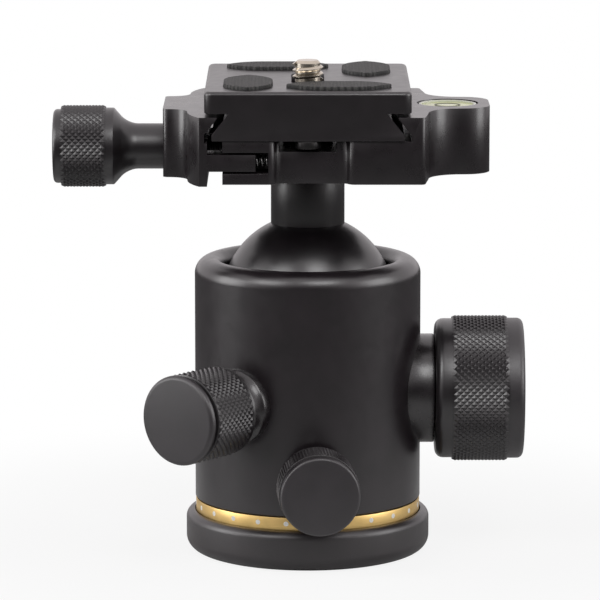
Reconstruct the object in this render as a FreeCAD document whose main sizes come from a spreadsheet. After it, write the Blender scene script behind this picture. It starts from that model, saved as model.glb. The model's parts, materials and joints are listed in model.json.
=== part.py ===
import FreeCAD, Part
import math
import os

import Sketcher
from FreeCAD import Placement, Rotation, Vector

# Driving dimensions: millimetres, and degrees for the azimuths.
# Heights are counted from the underside of the pan base.
SIZES = {
    # Pan base and the parts that hold the housing on it
    "base_radius": 25.4,
    "base_foot_rounding": 3.0,
    "base_lip_height": 8.45,
    "base_lip_rounding": 1.7,
    "base_lip_inner_radius": 23.6,
    "base_floor_height": 7.6,
    "hub_radius": 13.5,
    "hub_groove_depth": 0.6,
    "hub_groove_width": 4.4,
    "bush_radius": 7.0,
    "bush_length": 12.7,
    "tripod_thread_radius": 3.97,
    "ring_radius": 23.4,
    "ring_inner_radius": 20.5,
    "ring_gap": 0.1,
    "thrust_washer_thickness": 1.0,
    "carrier_top": 21.9,
    "retainer_radius": 16.5,
    "retainer_thickness": 1.7,
    "retainer_washer_thickness": 0.6,
    "retainer_screw_circle": 9.6,
    "retainer_screw_radius": 1.5,
    "retainer_screw_head": 2.7,
    "retainer_screw_length": 9.0,
    # Housing and the ball chamber
    "housing_radius": 23.5,
    "housing_bottom": 11.2,
    "housing_top": 61.7,
    "housing_foot_chamfer": 0.3,
    "bore_radius": 19.3,
    "bore_top": 57.5,
    "opening_radius": 17.7,
    "rim_outer_rounding": 3.3,
    "rim_inner_rounding": 2.2,
    "notch_clearance": 0.55,
    "chamber_floor_height": 25.0,
    "chamber_floor_thickness": 2.4,
    "running_clearance": 0.05,
    # Ball, neck and seats
    "ball_radius": 18.0,
    "ball_height": 52.5,
    "stem_radius": 7.65,
    "upper_seat_height": 53.6,
    "cup_bottom": 31.0,
    "cup_top": 47.0,
    "cup_foot_radius": 13.0,
    "cup_hole_radius": 8.0,
    "spring_disc_radius": 17.0,
    "spring_disc_hole": 9.0,
    "spring_disc_thickness": 0.8,
    # Lock knobs, measured outwards from the housing's axis
    "lock_travel": 0.9,
    "wedge_tip": 13.5,
    "wedge_gap": 0.1,
    "main_lock_azimuth": 0.0,
    "main_lock_height": 33.9,
    "main_boss_radius": 11.35,
    "main_boss_seat": 20.5,
    "main_boss_end": 26.3,
    "main_wedge_radius": 4.4,
    "main_wedge_end": 21.5,
    "main_stud_radius": 3.0,
    "main_stud_end": 39.0,
    "main_sleeve_radius": 8.0,
    "main_sleeve_end": 29.0,
    "main_flange_radius": 14.55,
    "main_grip_start": 30.1,
    "main_grip_radius": 15.2,
    "main_grip_end": 41.6,
    "main_cap_radius": 14.65,
    "main_cap_end": 44.9,
    "friction_azimuth": 232.0,
    "friction_height": 33.5,
    "friction_wedge_radius": 3.8,
    "friction_wedge_end": 22.7,
    "friction_stud_radius": 2.5,
    "friction_stud_end": 37.5,
    "friction_collar_radius": 7.75,
    "friction_collar_waist": 6.5,
    "friction_collar_seat": 21.8,
    "friction_collar_rim": 24.2,
    "friction_grip_start": 28.8,
    "friction_grip_radius": 9.3,
    "friction_grip_end": 41.2,
    "friction_cap_radius": 9.2,
    "friction_knob_end": 43.0,
    "collar_flare": 4.0,
    "pan_lock_azimuth": -86.0,
    "pan_lock_height": 18.4,
    "pan_pad_radius": 2.9,
    "pan_pad_nose_radius": 1.8,
    "pan_pad_shoulder": 14.2,
    "pan_pad_end": 21.6,
    "pan_stud_radius": 2.5,
    "pan_stud_end": 33.0,
    "pan_collar_radius": 6.6,
    "pan_collar_waist": 5.8,
    "pan_collar_seat": 22.3,
    "pan_collar_rim": 24.0,
    "pan_grip_start": 26.0,
    "pan_grip_radius": 8.4,
    "pan_grip_end": 33.1,
    "pan_cap_radius": 8.1,
    "pan_knob_end": 37.0,
    # Clamp
    "clamp_bottom": 80.3,
    "clamp_height": 13.65,
    "clamp_half_length": 24.5,
    "clamp_floor": 8.75,
    "clamp_left": 17.3,
    "clamp_right": 23.8,
    "tongue_root": 24.6,
    "tongue_end": 37.5,
    "tongue_half_width": 9.6,
    "tongue_rounding": 5.5,
    "jaw_lip": 0.3,
    "fixed_jaw_tip": 18.3,
    "fixed_jaw_root": 21.0,
    "trough_half_width": 5.9,
    "trough_depth": 2.3,
    "relief_left": 6.6,
    "relief_right": 8.2,
    "relief_depth": 1.9,
    "relief_blend": 2.8,
    "right_corner_rounding": 1.0,
    "tongue_root_rounding": 7.0,
    "slot_end": 8.0,
    "slot_bottom": 2.2,
    "slot_top": 6.5,
    "slot_depth": 7.6,
    "clamp_edge_rounding": 0.6,
    "clamp_bolt_radius": 3.0,
    "clamp_bolt_head": 5.2,
    "clamp_bolt_head_height": 2.0,
    "clamp_bolt_length": 14.5,
    "level_radius": 6.35,
    "level_place": 28.9,
    "level_depth": 5.2,
    "level_wall": 0.85,
    "level_floor": 1.0,
    "level_window": 0.9,
    # Moving jaw, its screw and springs
    "jaw_gap": 3.1,
    "jaw_tip": 18.4,
    "jaw_root": 20.95,
    "jaw_closing": 1.4,
    "jaw_drop": 0.4,
    "jaw_leg_width": 1.6,
    "jaw_waist_rounding": 3.9,
    "jaw_face": 29.7,
    "jaw_face_half_width": 10.7,
    "jaw_corner_rounding": 1.2,
    "guide_half_height": 1.7,
    "guide_end": 10.6,
    "guide_width": 6.9,
    "clamp_screw_height": 4.6,
    "clamp_screw_radius": 2.5,
    "clamp_screw_tip": 7.6,
    "screw_clearance": 0.1,
    "clamp_knob_neck": 4.7,
    "clamp_knob_flare": 35.0,
    "clamp_knob_flange": 40.1,
    "clamp_knob_flange_radius": 7.95,
    "clamp_grip_start": 41.8,
    "clamp_grip_radius": 8.5,
    "clamp_grip_end": 51.0,
    "clamp_knob_end": 52.6,
    "clamp_knob_end_radius": 7.65,
    "spring_radius": 1.1,
    "spring_wire": 0.4,
    "spring_turns": 7.0,
    "spring_seat_depth": 2.6,
    "spring_seat_clearance": 0.15,
    # Quick-release plate
    "plate_gap": 0.15,
    "plate_thickness": 10.0,
    "plate_half_length": 25.0,
    "plate_half_width": 20.95,
    "plate_flange": 4.4,
    "plate_neck": 15.95,
    "plate_foot": 19.45,
    "plate_foot_wall": 1.2,
    "plate_corner_rounding": 1.75,
    "plate_edge_rounding": 0.8,
    "pad_half_length": 10.5,
    "pad_half_width": 5.0,
    "pad_straight": 3.6,
    "pad_tip_rounding": 1.0,
    "pad_tip_half_width": 0.9,
    "pad_side_radius": 9.0,
    "pad_recess": 0.5,
    "pad_height": 0.75,
    "short_pad_across": 12.2,
    "short_pad_along": 12.2,
    "long_pad_across": 6.3,
    "long_pad_along": 17.2,
    "camera_screw_radius": 3.175,
    "camera_screw_shank": 2.6,
    "camera_screw_reach": 4.6,
    "camera_screw_place": 8.1,
    "camera_screw_head": 6.0,
    "camera_screw_head_height": 2.1,
    "screw_slot_clearance": 0.2,
    "screw_slot_travel": 13.0,
    "head_room": 0.4,
    "stop_screw_place": 22.2,
    "stop_screw_head": 2.65,
    "stop_screw_head_height": 1.7,
    "stop_screw_radius": 1.5,
    "stop_screw_length": 5.0,
}

doc = FreeCAD.newDocument("tripod_ball_head")
sheet = doc.addObject("Spreadsheet::Sheet", "Sizes")
for row, (alias, value) in enumerate(SIZES.items(), 1):
    sheet.set(f"A{row}", alias)
    sheet.set(f"B{row}", str(value))
    sheet.setAlias(f"B{row}", alias)
doc.recompute()


class Size:
    """A size worked out from the sheet: its value now, and the formula that gives it."""

    def __init__(self, value, formula):
        self.value = float(value)
        self.formula = formula

    def __float__(self):
        return self.value

    def __neg__(self):
        return Size(-self.value, f"(-1 * {self.formula})")

    def __add__(self, other):
        other = as_size(other)
        return Size(self.value + other.value, f"({self.formula} + {other.formula})")

    def __sub__(self, other):
        other = as_size(other)
        return Size(self.value - other.value, f"({self.formula} - {other.formula})")

    def __mul__(self, other):
        other = as_size(other)
        return Size(self.value * other.value, f"({self.formula} * {other.formula})")

    def __truediv__(self, other):
        other = as_size(other)
        return Size(self.value / other.value, f"({self.formula} / {other.formula})")

    __radd__ = __add__
    __rmul__ = __mul__


def as_size(number):
    return number if isinstance(number, Size) else Size(number, repr(float(number)))


def root(size):
    """Square root, which gives where a sphere or a cylinder is cut."""
    return Size(math.sqrt(size.value), f"sqrt({size.formula})")


def leg(slant, other_leg):
    """The third side of a right triangle."""
    return root(slant * slant - other_leg * other_leg)


class Sheet:
    """Reads a driving dimension by its alias."""

    def __getattr__(self, alias):
        return Size(sheet.get(alias), f"Sizes.{alias}")


dim = Sheet()
ZERO = as_size(0)
SIDEWAYS = Rotation(Vector(0, 1, 0), 90)


def bind(thing, path, size):
    """Tie a property or a sketch constraint to the sheet."""
    thing.setExpression(path, as_size(size).formula)


def place(thing, across=ZERO, along=ZERO, up=ZERO, turn=Rotation()):
    """Turn a piece, then tie its position to the sheet."""
    sizes = (as_size(across), as_size(along), as_size(up))
    thing.Placement = Placement(Vector(*(s.value for s in sizes)), turn)
    for axis, size in zip("xyz", sizes):
        bind(thing, f"Placement.Base.{axis}", size)
    return thing


def arc_edge(start, stop, radius, side):
    """The shorter arc from start to stop, with its centre on the given side."""
    chord = stop - start
    across = Vector(-chord.y, chord.x, 0).normalize()
    reach = math.sqrt(max(radius**2 - (chord.Length / 2) ** 2, 0))
    centre = (start + stop) / 2 + across * (reach if side == "left" else -reach)
    first, last = (start, stop) if side == "left" else (stop, start)
    angles = [math.atan2(p.y - centre.y, p.x - centre.x) for p in (first, last)]
    if angles[1] < angles[0]:
        angles[1] += 2 * math.pi
    circle = Part.Circle(centre, Vector(0, 0, 1), radius)
    return Part.ArcOfCircle(circle, angles[0], angles[1])


def draw(sketch, corners):
    """Draw a closed outline and tie every corner and radius to the sheet.

    A corner is (across, up). With two more values, a radius and a side, the edge that leaves it is an arc.
    """
    offset = sketch.GeometryCount
    spots = [Vector(float(c[0]), float(c[1]), 0) for c in corners]
    edges, ends, rules, ties = [], [], [], []
    for start, corner, stop in zip(spots, corners, spots[1:] + spots[:1]):
        if len(corner) == 2:
            edges.append(Part.LineSegment(start, stop))
            ends.append((1, 2))
        else:
            edges.append(arc_edge(start, stop, float(corner[2]), corner[3]))
            ends.append((1, 2) if corner[3] == "left" else (2, 1))
    sketch.addGeometry(edges, False)

    def tie(kind, edge, end, size):
        size = as_size(size)
        if abs(size.value) < 1e-9:
            rules.append(Sketcher.Constraint("PointOnObject", edge, end, -2 if kind == "DistanceX" else -1))
            return
        if size.value > 0:
            rules.append(Sketcher.Constraint(kind, -1, 1, edge, end, size.value))
        else:
            size = -size
            rules.append(Sketcher.Constraint(kind, edge, end, -1, 1, size.value))
        ties.append((len(rules) - 1, size))

    for number, corner in enumerate(corners):
        following = (number + 1) % len(corners)
        edge = offset + number
        rules.append(
            Sketcher.Constraint("Coincident", edge, ends[number][1], offset + following, ends[following][0])
        )
        tie("DistanceX", edge, ends[number][0], corner[0])
        tie("DistanceY", edge, ends[number][0], corner[1])
        if len(corner) > 2:
            rules.append(Sketcher.Constraint("Radius", edge, float(corner[2])))
            ties.append((len(rules) - 1, as_size(corner[2])))
    first_rule = sketch.ConstraintCount
    sketch.addConstraint(rules)
    for number, size in ties:
        bind(sketch, f"Constraints[{first_rule + number}]", size)


def new_body(label):
    body = doc.addObject("PartDesign::Body", label)
    body.Label = label
    return body


def new_sketch(body, plane, corners, offset=None):
    """A closed outline on one of the body's own planes, moved out along it by the offset."""
    sketch = body.newObject("Sketcher::SketchObject", "Outline")
    support = [f for f in body.Origin.OriginFeatures if f.Role == plane][0]
    sketch.AttachmentSupport = [(support, "")]
    sketch.MapMode = "FlatFace"
    if offset is not None:
        sketch.AttachmentOffset = Placement(Vector(0, 0, float(offset)), Rotation())
        bind(sketch, "AttachmentOffset.Base.z", offset)
    draw(sketch, corners)
    return sketch


def turned(label, corners):
    """A piece made on a lathe: its half section is (radius, height), turned about the body's Z axis."""
    body = new_body(label)
    sketch = new_sketch(body, "XZ_Plane", corners)
    turning = body.newObject("PartDesign::Revolution", "Turning")
    turning.Profile = sketch
    turning.ReferenceAxis = (sketch, ["V_Axis"])
    turning.Angle = 360
    return body


def raised(body, plane, corners, length, offset=None, both_ways=False):
    """Add material on an outline."""
    sketch = new_sketch(body, plane, corners, offset)
    pad = body.newObject("PartDesign::Pad", "Raised")
    pad.Profile = sketch
    pad.SideType = "Symmetric" if both_ways else "One side"
    pad.Length = float(length)
    bind(pad, "Length", length)
    return pad


def sunk(body, plane, corners, length, offset=None, both_ways=False, turned_round=False):
    """Take material away inside an outline, and check that some went."""
    doc.recompute()
    before = body.Shape.Volume
    sketch = new_sketch(body, plane, corners, offset)
    pocket = body.newObject("PartDesign::Pocket", "Sunk")
    pocket.Profile = sketch
    pocket.SideType = "Symmetric" if both_ways else "One side"
    pocket.Reversed = turned_round
    pocket.Length = float(length)
    bind(pocket, "Length", length)
    doc.recompute()
    if not body.Shape.Volume < before:
        raise ValueError(f"{body.Label}: a pocket took nothing away")
    return pocket


def rounded(body, radius, chosen):
    """Round the edges of the body that the test picks."""
    doc.recompute()
    last = body.Tip
    names = [f"Edge{n}" for n, edge in enumerate(last.Shape.Edges, 1) if chosen(edge)]
    fillet = body.newObject("PartDesign::Fillet", "Rounding")
    fillet.Base = (last, names)
    fillet.Radius = float(radius)
    bind(fillet, "Radius", radius)
    return fillet


def cylinder(radius, height, across=ZERO, along=ZERO, up=ZERO, turn=Rotation()):
    thing = doc.addObject("Part::Cylinder", "Round")
    bind(thing, "Radius", radius)
    bind(thing, "Height", height)
    return place(thing, across, along, up, turn)


def block(length, width, height, across, along, up):
    thing = doc.addObject("Part::Box", "Block")
    for side, size in zip(("Length", "Width", "Height"), (length, width, height)):
        bind(thing, side, size)
    return place(thing, across, along, up)


def sphere(radius, up):
    thing = doc.addObject("Part::Sphere", "Round")
    bind(thing, "Radius", radius)
    return place(thing, up=up)


def combine(kind, label, *things):
    """Cut the later things from the first, or fuse or intersect them all."""
    if kind == "Cut" and len(things) > 2:
        tools = doc.addObject("Part::MultiFuse", "Tools")
        tools.Shapes = list(things[1:])
        things = (things[0], tools)
    if kind == "Cut":
        result = doc.addObject("Part::Cut", label)
        result.Base, result.Tool = things
    else:
        result = doc.addObject("Part::MultiFuse" if kind == "Fuse" else "Part::MultiCommon", label)
        result.Shapes = list(things)
    result.Label = label
    return result


def rename(thing, label):
    thing.Label = label
    return thing


def outward(azimuth):
    """Turns a piece whose own axis is Z so that it points away from the housing."""
    return Rotation(Vector(0, 0, 1), float(azimuth)) * SIDEWAYS


nodes = []


def keep(*things):
    nodes.extend(things)


# Heights that several pieces share
carrier_bottom = dim.base_floor_height + dim.thrust_washer_thickness + dim.running_clearance
washer_bottom = dim.carrier_top + dim.running_clearance
hub_top = washer_bottom + dim.retainer_washer_thickness + dim.running_clearance
retainer_top = hub_top + dim.retainer_thickness
floor_top = dim.chamber_floor_height + dim.chamber_floor_thickness
seat_radius = dim.ball_radius + dim.running_clearance
clamp_top = dim.clamp_bottom + dim.clamp_height
clamp_floor = dim.clamp_bottom + dim.clamp_floor
trough_floor = clamp_floor - dim.trough_depth
clamp_screw_axis = dim.clamp_bottom + dim.clamp_screw_height
plate_bottom = dim.clamp_bottom + dim.clamp_floor + dim.plate_gap
plate_top = plate_bottom + dim.plate_thickness
foot_top = plate_bottom + dim.plate_foot_wall
flange_bottom = plate_top - dim.plate_flange
flank_rise = (flange_bottom - foot_top) / (dim.plate_foot - dim.plate_neck)
notch_half_width = dim.stem_radius + dim.notch_clearance


def pan_base():
    """Foot disc with a rolled lip, and the hub that the housing turns on."""
    groove_radius = dim.hub_radius - dim.hub_groove_depth
    groove_half = dim.hub_groove_width / 2
    lip_crest = dim.base_radius - dim.base_lip_rounding
    body = turned(
        "pan_base_blank",
        [
            (dim.bush_radius, ZERO),
            (dim.base_radius - dim.base_foot_rounding, ZERO, dim.base_foot_rounding, "left"),
            (dim.base_radius, dim.base_foot_rounding),
            (dim.base_radius, dim.base_lip_height - dim.base_lip_rounding, dim.base_lip_rounding, "left"),
            (lip_crest, dim.base_lip_height),
            (dim.base_lip_inner_radius, dim.base_lip_height),
            (dim.base_lip_inner_radius, dim.base_floor_height),
            (dim.hub_radius, dim.base_floor_height),
            (dim.hub_radius, dim.pan_lock_height - groove_half),
            (groove_radius, dim.pan_lock_height - groove_half),
            (groove_radius, dim.pan_lock_height + groove_half),
            (dim.hub_radius, dim.pan_lock_height + groove_half),
            (dim.hub_radius, hub_top),
            (ZERO, hub_top),
            (ZERO, dim.bush_length),
            (dim.bush_radius, dim.bush_length),
        ],
    )
    holes = [
        cylinder(dim.retainer_screw_radius, dim.retainer_screw_length, up=hub_top - dim.retainer_screw_length)
        for _ in range(3)
    ]
    for number, hole in enumerate(holes):
        on_screw_circle(hole, number, hub_top - dim.retainer_screw_length)
    keep(combine("Cut", "pan_base", body, *holes))


def on_screw_circle(thing, number, up):
    """One of three places, evenly spaced about the axis."""
    angle = math.radians(90 + 120 * number)
    return place(
        thing,
        across=dim.retainer_screw_circle * math.cos(angle),
        along=dim.retainer_screw_circle * math.sin(angle),
        up=up,
    )


def tripod_thread_bush():
    keep(
        turned(
            "tripod_thread_bush",
            [
                (dim.tripod_thread_radius, ZERO),
                (dim.bush_radius, ZERO),
                (dim.bush_radius, dim.bush_length),
                (dim.tripod_thread_radius, dim.bush_length),
            ],
        )
    )


def ring(label, inner, outer, bottom, top):
    """A plain washer or sleeve."""
    return turned(label, [(inner, bottom), (outer, bottom), (outer, top), (inner, top)])


def pan_bearing():
    """The scale ring, the bearing parts and what keeps the housing on the hub."""
    clear_hub = dim.hub_radius + dim.running_clearance
    keep(
        ring(
            "scale_ring",
            dim.ring_inner_radius,
            dim.ring_radius,
            dim.base_floor_height,
            dim.housing_bottom - dim.ring_gap,
        ),
        ring(
            "thrust_washer",
            clear_hub,
            dim.bore_radius,
            dim.base_floor_height,
            dim.base_floor_height + dim.thrust_washer_thickness,
        ),
        ring(
            "retainer_washer",
            clear_hub,
            dim.retainer_radius,
            washer_bottom,
            washer_bottom + dim.retainer_washer_thickness,
        ),
    )
    disc = ring("retainer_disc_blank", dim.bush_radius / 2, dim.retainer_radius, hub_top, retainer_top)
    seats, screws = [], []
    for number in range(3):
        seats.append(on_screw_circle(retainer_screw(), number, hub_top))
        screws.append(on_screw_circle(retainer_screw(), number, hub_top))
    keep(combine("Cut", "retainer_disc", disc, *seats))
    keep(combine("Fuse", "retainer_screws", *screws))

    carrier = ring("carrier_blank", clear_hub, dim.bore_radius, carrier_bottom, dim.carrier_top)
    pad_hole = cylinder(
        dim.pan_pad_radius + dim.screw_clearance,
        dim.housing_radius,
        up=dim.pan_lock_height,
        turn=outward(dim.pan_lock_azimuth),
    )
    keep(combine("Cut", "pan_bearing_carrier", carrier, pad_hole))


def retainer_screw():
    """Countersunk screw whose head lies flush in the retainer disc; its origin is the disc's underside."""
    return turned(
        "screw_blank",
        [
            (ZERO, -dim.retainer_screw_length),
            (dim.retainer_screw_radius, -dim.retainer_screw_length),
            (dim.retainer_screw_radius, dim.retainer_thickness - dim.retainer_screw_head + dim.retainer_screw_radius),
            (dim.retainer_screw_head, dim.retainer_thickness),
            (ZERO, dim.retainer_thickness),
        ],
    )


def housing():
    """The cup that carries the ball: one turned piece with a rounded rim and a drop notch at the back."""
    body = turned(
        "housing_blank",
        [
            (dim.bore_radius, dim.housing_bottom),
            (dim.housing_radius - dim.housing_foot_chamfer, dim.housing_bottom),
            (dim.housing_radius, dim.housing_bottom + dim.housing_foot_chamfer),
            (dim.housing_radius, dim.housing_top - dim.rim_outer_rounding, dim.rim_outer_rounding, "left"),
            (dim.housing_radius - dim.rim_outer_rounding, dim.housing_top),
            (dim.opening_radius + dim.rim_inner_rounding, dim.housing_top, dim.rim_inner_rounding, "left"),
            (dim.opening_radius, dim.housing_top - dim.rim_inner_rounding),
            (dim.opening_radius, dim.bore_top),
            (dim.bore_radius, dim.bore_top),
        ],
    )
    cuts = list(notch_tools())
    for azimuth, height, boss, seat, hole in (
        (
            dim.main_lock_azimuth,
            dim.main_lock_height,
            dim.main_boss_radius,
            dim.main_boss_seat,
            dim.main_wedge_radius,
        ),
        (
            dim.friction_azimuth,
            dim.friction_height,
            dim.friction_collar_radius,
            dim.friction_collar_seat,
            dim.friction_wedge_radius,
        ),
        (
            dim.pan_lock_azimuth,
            dim.pan_lock_height,
            dim.pan_collar_radius,
            dim.pan_collar_seat,
            dim.pan_pad_radius,
        ),
    ):
        cuts.append(
            cylinder(hole + dim.screw_clearance, dim.housing_radius, up=height, turn=outward(azimuth))
        )
        spot_face = cylinder(boss, dim.housing_radius, turn=outward(azimuth))
        angle = math.radians(float(azimuth))
        place(spot_face, seat * math.cos(angle), seat * math.sin(angle), height, outward(azimuth))
        cuts.append(spot_face)
    keep(combine("Cut", "housing", body, *cuts))


def notch_tools():
    """The U-shaped way through the back wall that lets the neck drop level."""
    reach = dim.housing_radius * 2
    yield cylinder(
        notch_half_width, reach, up=dim.ball_height, turn=Rotation(Vector(1, 0, 0), -90)
    )
    yield block(
        notch_half_width * 2,
        reach,
        dim.housing_top,
        -notch_half_width,
        ZERO,
        dim.ball_height,
    )


def ball_chamber():
    """Chamber floor, disc spring, lower cup and upper seat."""
    keep(
        turned(
            "chamber_floor",
            [
                (ZERO, dim.chamber_floor_height),
                (dim.bore_radius, dim.chamber_floor_height),
                (dim.bore_radius, floor_top),
                (ZERO, floor_top),
            ],
        )
    )
    spring_rise = dim.cup_bottom - floor_top - dim.spring_disc_thickness
    keep(
        turned(
            "cup_disc_spring",
            [
                (dim.spring_disc_radius, floor_top),
                (dim.spring_disc_radius, floor_top + dim.spring_disc_thickness),
                (dim.spring_disc_hole, floor_top + spring_rise + dim.spring_disc_thickness),
                (dim.spring_disc_hole, floor_top + spring_rise),
            ],
        )
    )
    cup_radius = dim.bore_radius - dim.running_clearance
    cone_top = dim.cup_bottom + cup_radius - dim.cup_foot_radius
    cup = turned(
        "cup_blank",
        [
            (dim.cup_hole_radius, dim.cup_bottom),
            (dim.cup_foot_radius, dim.cup_bottom),
            (cup_radius, cone_top),
            (cup_radius, dim.cup_top),
            (leg(seat_radius, dim.ball_height - dim.cup_top), dim.cup_top, seat_radius, "right"),
            (dim.cup_hole_radius, dim.ball_height - leg(seat_radius, dim.cup_hole_radius)),
        ],
    )
    keep(combine("Cut", "lower_ball_cup", cup, *notch_tools()))
    seat = turned(
        "seat_blank",
        [
            (leg(seat_radius, dim.upper_seat_height - dim.ball_height), dim.upper_seat_height),
            (dim.bore_radius, dim.upper_seat_height),
            (dim.bore_radius, dim.bore_top),
            (leg(seat_radius, dim.bore_top - dim.ball_height), dim.bore_top, seat_radius, "right"),
        ],
    )
    keep(combine("Cut", "upper_ball_seat", seat, *notch_tools()))


def ball_and_stem():
    keep(rename(sphere(dim.ball_radius, dim.ball_height), "ball"))
    shaft = cylinder(
        dim.stem_radius, dim.clamp_bottom - dim.ball_height, up=dim.ball_height
    )
    bolt_hole = cylinder(
        dim.clamp_bolt_radius + dim.running_clearance,
        dim.clamp_bolt_length + dim.screw_clearance,
        up=trough_floor - dim.clamp_bolt_length - dim.screw_clearance,
    )
    hollow = sphere(seat_radius, dim.ball_height)
    keep(combine("Cut", "stem", shaft, bolt_hole, hollow))


def point_outward(thing, azimuth, height):
    return place(thing, up=height, turn=outward(azimuth))


def lock_wedge(label, radius, end, azimuth, height):
    """Pin with a bevelled tip that lies against the cone of the lower cup."""
    body = turned(label, [(ZERO, dim.wedge_tip), (radius, dim.wedge_tip), (radius, end), (ZERO, end)])
    touch = height - dim.cup_bottom + dim.cup_foot_radius + dim.wedge_gap
    wide = radius * 2
    sunk(
        body,
        "XZ_Plane",
        [(-wide, ZERO), (wide, ZERO), (wide, touch - wide), (-wide, touch + wide)],
        wide * 2,
        both_ways=True,
    )
    keep(point_outward(body, azimuth, height))


def stud(label, radius, start, end, azimuth, height):
    keep(
        point_outward(
            turned(label, [(ZERO, start), (radius, start), (radius, end), (ZERO, end)]), azimuth, height
        )
    )


def main_lock():
    azimuth, height = dim.main_lock_azimuth, dim.main_lock_height
    thread = dim.main_stud_radius + dim.running_clearance
    pocket = dim.main_wedge_radius + dim.screw_clearance
    pocket_end = dim.main_wedge_end + dim.lock_travel + dim.screw_clearance
    bushing = turned(
        "main_lock_bushing",
        [
            (pocket, dim.main_boss_seat),
            (dim.main_boss_radius, dim.main_boss_seat),
            (dim.main_boss_radius, dim.main_boss_end),
            (dim.main_sleeve_radius, dim.main_boss_end),
            (dim.main_sleeve_radius, dim.main_sleeve_end),
            (thread, dim.main_sleeve_end),
            (thread, pocket_end),
            (pocket, pocket_end),
        ],
    )
    keep(point_outward(bushing, azimuth, height))
    lock_wedge("main_lock_wedge", dim.main_wedge_radius, dim.main_wedge_end, azimuth, height)
    stud("main_lock_stud", dim.main_stud_radius, dim.main_wedge_end, dim.main_stud_end, azimuth, height)

    flange_start = dim.main_boss_end + dim.wedge_gap * 2
    inner = dim.main_sleeve_radius + dim.wedge_gap * 3
    rounding = dim.base_lip_rounding
    cap_neck = dim.main_cap_radius - 2.4
    cap_seat = dim.main_grip_end - 2.0
    knob = turned(
        "main_lock_knob",
        [
            (inner, flange_start),
            (dim.main_flange_radius - rounding, flange_start, rounding, "left"),
            (dim.main_flange_radius, flange_start + rounding),
            (dim.main_flange_radius, dim.main_grip_start),
            (dim.main_grip_radius, dim.main_grip_start),
            (dim.main_grip_radius, dim.main_grip_end),
            (cap_neck, dim.main_grip_end),
            (cap_neck, cap_seat),
            (dim.main_stud_radius, cap_seat),
            (dim.main_stud_radius, dim.main_sleeve_end + dim.wedge_gap * 3),
            (inner, dim.main_sleeve_end + dim.wedge_gap * 3),
        ],
    )
    keep(point_outward(knob, azimuth, height))
    edge = dim.plate_edge_rounding * 1.6
    cap = turned(
        "main_lock_cap",
        [
            (ZERO, cap_seat),
            (cap_neck, cap_seat),
            (cap_neck, dim.main_grip_end),
            (dim.main_cap_radius, dim.main_grip_end),
            (dim.main_cap_radius, dim.main_cap_end - edge, edge, "left"),
            (dim.main_cap_radius - edge, dim.main_cap_end),
            (ZERO, dim.main_cap_end),
        ],
    )
    keep(point_outward(cap, azimuth, height))


def small_lock(name, azimuth, height, collar, waist, seat, rim, bore, pocket_end, stud_radius, stud_end, grip):
    """Collar, stud and knob of the friction lock or the pan lock."""
    thread = stud_radius + dim.running_clearance
    grip_start, grip_radius, grip_end, cap_radius, knob_end = grip
    collar_end = grip_start - dim.wedge_gap * 3
    bushing = turned(
        f"{name}_collar",
        [
            (bore, seat),
            (collar, seat),
            (collar, rim, dim.collar_flare, "right"),
            (waist, collar_end),
            (thread, collar_end),
            (thread, pocket_end),
            (bore, pocket_end),
        ],
    )
    keep(point_outward(bushing, azimuth, height))
    groove = (knob_end - grip_end) / 3
    groove_radius = cap_radius - groove
    edge = dim.plate_edge_rounding
    dish = cap_radius - edge * 2
    knob = turned(
        f"{name}_knob",
        [
            (stud_radius, grip_start),
            (grip_radius, grip_start),
            (grip_radius, grip_end),
            (groove_radius, grip_end + groove / 2),
            (cap_radius, grip_end + groove * 1.5),
            (cap_radius, knob_end - edge, edge, "left"),
            (cap_radius - edge, knob_end),
            (dish, knob_end),
            (dish, stud_end),
            (stud_radius, stud_end),
        ],
    )
    keep(point_outward(knob, azimuth, height))
    inset = turned(
        f"{name}_cap",
        [
            (ZERO, stud_end),
            (dish, stud_end),
            (dish, knob_end - edge / 4),
            (ZERO, knob_end - edge / 4),
        ],
    )
    keep(point_outward(inset, azimuth, height))


def friction_lock():
    azimuth, height = dim.friction_azimuth, dim.friction_height
    bore = dim.friction_wedge_radius + dim.screw_clearance
    lock_wedge("friction_wedge", dim.friction_wedge_radius, dim.friction_wedge_end, azimuth, height)
    stud(
        "friction_stud",
        dim.friction_stud_radius,
        dim.friction_wedge_end,
        dim.friction_stud_end,
        azimuth,
        height,
    )
    small_lock(
        "friction",
        azimuth,
        height,
        dim.friction_collar_radius,
        dim.friction_collar_waist,
        dim.friction_collar_seat,
        dim.friction_collar_rim,
        bore,
        dim.friction_wedge_end + dim.lock_travel + dim.screw_clearance,
        dim.friction_stud_radius,
        dim.friction_stud_end,
        (
            dim.friction_grip_start,
            dim.friction_grip_radius,
            dim.friction_grip_end,
            dim.friction_cap_radius,
            dim.friction_knob_end,
        ),
    )


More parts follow.
